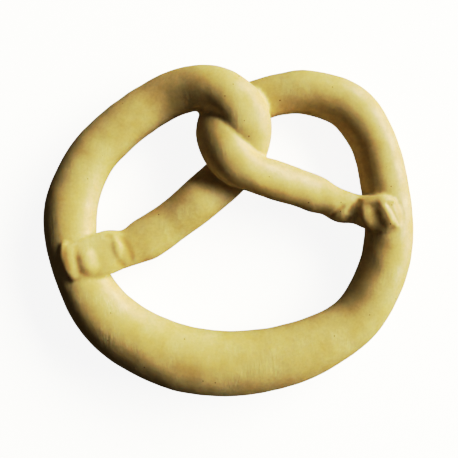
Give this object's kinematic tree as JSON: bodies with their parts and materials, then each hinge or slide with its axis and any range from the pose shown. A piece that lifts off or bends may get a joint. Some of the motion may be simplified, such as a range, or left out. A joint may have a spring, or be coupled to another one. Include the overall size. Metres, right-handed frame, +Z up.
{
  "type": "unbaked pretzel",
  "caption": "Raw dough rope laid in a loop, twisted once round itself in the middle, with both pinched ends pressed onto the loop.",
  "frame": {"origin": "middle of the outline, on the table that the dough lies on", "axes": "+X across the pretzel from its left end to its right end, +Y from the thick belly towards the twist, +Z up from the table"},
  "size_m": [0.1409, 0.1244, 0.0181],
  "materials": {
    "dough": "satin"
  },
  "bodies": {
    "root": {"pretzel_dough": "dough"}
  },
  "joints": []
}
